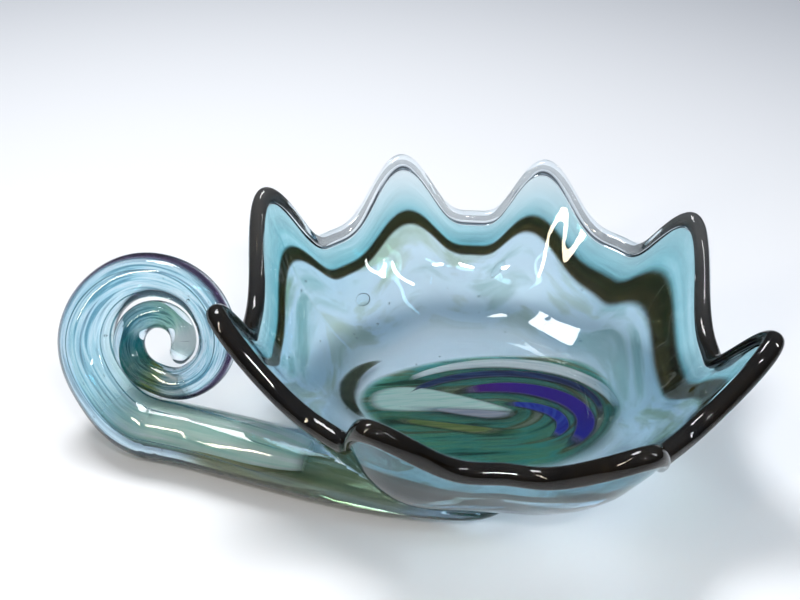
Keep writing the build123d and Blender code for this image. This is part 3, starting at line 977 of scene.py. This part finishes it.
def build_tail_lines():
    """Skins and threads of colour that run along the tail, and a near-black skin of painted shade along its
    underside where it sits on the table; they have no CAD node.
    """
    # The first film below is near-black painted shade, for the skin along the tail's underside where it
    # rests on the table.
    dark = film("underside_painted_shade", [(0.3, (0.01, 0.03, 0.025)), (0.7, (0.03, 0.08, 0.06))], haze=0.5, scale=1.0)
    violet = film("edge_violet", [(0.3, (0.05, 0.03, 0.08)), (0.7, (0.22, 0.14, 0.26))], haze=0.3, scale=1.0)
    line_stops = [(0.38, (0.22, 0.46, 0.56)), (0.46, (0.62, 0.84, 0.92)), (0.52, (0.92, 0.97, 1.0)),
                  (0.58, (0.55, 0.76, 0.86)), (0.66, (0.30, 0.44, 0.52))]
    fine_lines = film("fine_lines", line_stops, haze=0.06, scale=1.1, detail=3)
    teal = film("line_teal", [(0.3, (0.16, 0.40, 0.46)), (0.7, (0.45, 0.66, 0.72))], haze=0.2, scale=1.0)
    # Painted shade: a near-black skin along the tail's lower front side, where the tail sits on the table.
    tail_skin("underside_shade_skin", 0.3, 7.5, 40, 0.92, 0.8, dark, 18.0)
    tail_skin("violet_skin", 5.0, 13.0, 30, 0.86, 0.6, violet, 20.0)
    tail_skin("line_skin", 4.7, 18.6, 104, 0.78, 0.4, fine_lines, 90.0, 12.0)
    for number, (angle, depth, radius) in enumerate(THREADS):
        start = THREADS_START + START_STEP * number
        end = THREADS_END - END_STEP * number
        tail_thread(f"line_thread_{number}", start, end, angle, depth, radius, teal)


def build_bubbles():
    air = bubble_glass()
    bubbles("seed_bubbles", seed_spots(), air)
    bubbles("wall_bubbles", OVALS, air)


build_bowl_glass()
build_inner_tint()
build_smoke_ribbon()
build_teal_shoulder()
build_lip_core()
build_pool_ground()
build_white_strand()
build_navy_strand()
build_cobalt_strand()
build_blue_strand()
build_mint_leaf()
build_lilac_leaf()
build_olive_leaf()
build_seam_fold()
build_opal_core()
build_coil_ribbon()
build_amber_streak()
build_tail_lines()
build_bubbles()


def paper():
    """Plain white paper with fine fibres, and nothing printed on it."""
    material, nodes, links, shader, _ = new_material("label_paper")
    fibres = noise(nodes, links, 900, 6)
    colours = ramp(nodes, [(0.3, (0.80, 0.82, 0.74)), (0.7, (0.90, 0.91, 0.86))])
    links.new(fibres.outputs["Fac"], colours.inputs["Fac"])
    links.new(colours.outputs["Color"], shader.inputs["Base Color"])
    rough_paper = bump(nodes, links, fibres.outputs["Fac"], 0.3, 0.00005)
    links.new(rough_paper.outputs["Normal"], shader.inputs["Normal"])
    shader.inputs["Roughness"].default_value = 0.8
    return material


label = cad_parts["paper_label"]
for slot in label.material_slots:
    slot.material = paper()

# ---- stage, light and camera -------------------------------------------------------------
CAMERA_DISTANCE = 0.597
CAMERA_ELEVATION = math.radians(33.96)
CAMERA_ROLL = math.radians(2.31)
CAMERA_TARGET = Vector((-0.0445, 0.1116, 0.0))
CAMERA_LENS = 40.43
FLOOR_HALF_WIDTH = 3.0
WORLD_STRENGTH = 0.42
GLASS_BOUNCES, TRANSPARENT_BOUNCES = 40, 16


def add_camera():
    back = Vector((0, -math.cos(CAMERA_ELEVATION), math.sin(CAMERA_ELEVATION)))
    right = Vector((1, 0, 0))
    up = back.cross(right)
    turned_right = right * math.cos(CAMERA_ROLL) + up * math.sin(CAMERA_ROLL)
    turned_up = up * math.cos(CAMERA_ROLL) - right * math.sin(CAMERA_ROLL)
    camera = bpy.data.objects.new("camera", bpy.data.cameras.new("camera"))
    camera.data.lens = CAMERA_LENS
    camera.data.sensor_width = 36.0
    matrix = Matrix((turned_right, turned_up, back)).transposed().to_4x4()
    matrix.translation = CAMERA_TARGET + back * CAMERA_DISTANCE
    camera.matrix_world = matrix
    bpy.context.collection.objects.link(camera)
    bpy.context.scene.camera = camera


def add_floor():
    mesh = bpy.data.meshes.new("floor")
    half = FLOOR_HALF_WIDTH
    corners = [(-half, -half, 0), (half, -half, 0), (half, half, 0), (-half, half, 0)]
    mesh.from_pydata(corners, [], [(0, 1, 2, 3)])
    floor = bpy.data.objects.new("floor", mesh)
    bpy.context.collection.objects.link(floor)
    material, _, _, shader, _ = new_material("floor_paper")
    shader.inputs["Base Color"].default_value = (0.82, 0.84, 0.87, 1)
    shader.inputs["Roughness"].default_value = 0.7
    mesh.materials.append(material)


def add_light(name, place, target, size, power, colour=(1, 1, 1)):
    data = bpy.data.lights.new(name, "AREA")
    data.shape = "RECTANGLE"
    data.size, data.size_y = size
    data.energy = power
    data.color = colour
    light = bpy.data.objects.new(name, data)
    light.location = place
    light.rotation_euler = (Vector(target) - Vector(place)).to_track_quat("-Z", "Y").to_euler()
    bpy.context.collection.objects.link(light)


def add_world():
    world = bpy.data.worlds.new("studio")
    bpy.context.scene.world = world
    world.use_nodes = True
    nodes, links = world.node_tree.nodes, world.node_tree.links
    place = nodes.new("ShaderNodeTexCoord")
    split = nodes.new("ShaderNodeSeparateXYZ")
    links.new(place.outputs["Generated"], split.inputs["Vector"])
    colours = ramp(nodes, [(0.0, (0.20, 0.22, 0.25)), (0.3, (0.32, 0.36, 0.42)), (0.8, (0.75, 0.82, 0.95))])
    links.new(split.outputs["Z"], colours.inputs["Fac"])
    links.new(colours.outputs["Color"], nodes["Background"].inputs["Color"])
    nodes["Background"].inputs["Strength"].default_value = WORLD_STRENGTH


add_camera()
add_floor()
add_world()
add_light("key", place=(-0.35, 0.35, 1.1), target=(0, 0, 0.03), size=(0.5, 0.3), power=10.0)
add_light("flash", place=(0.10, -0.50, 0.62), target=(0, 0.03, 0.03), size=(0.10, 0.035), power=1.2)
add_light("window", place=(0.75, -0.25, 0.75), target=(0, 0, 0.03), size=(0.06, 0.5), power=2.6)
add_light("strip", place=(-0.55, -0.45, 0.55), target=(0, 0, 0.05), size=(0.04, 0.45), power=2.0,
          colour=(1.0, 0.86, 0.66))
bpy.context.scene.view_settings.view_transform = "Standard"
bpy.context.scene.view_settings.look = "None"
cycles = bpy.context.scene.cycles
cycles.max_bounces = GLASS_BOUNCES
cycles.transmission_bounces = GLASS_BOUNCES
cycles.transparent_max_bounces = TRANSPARENT_BOUNCES
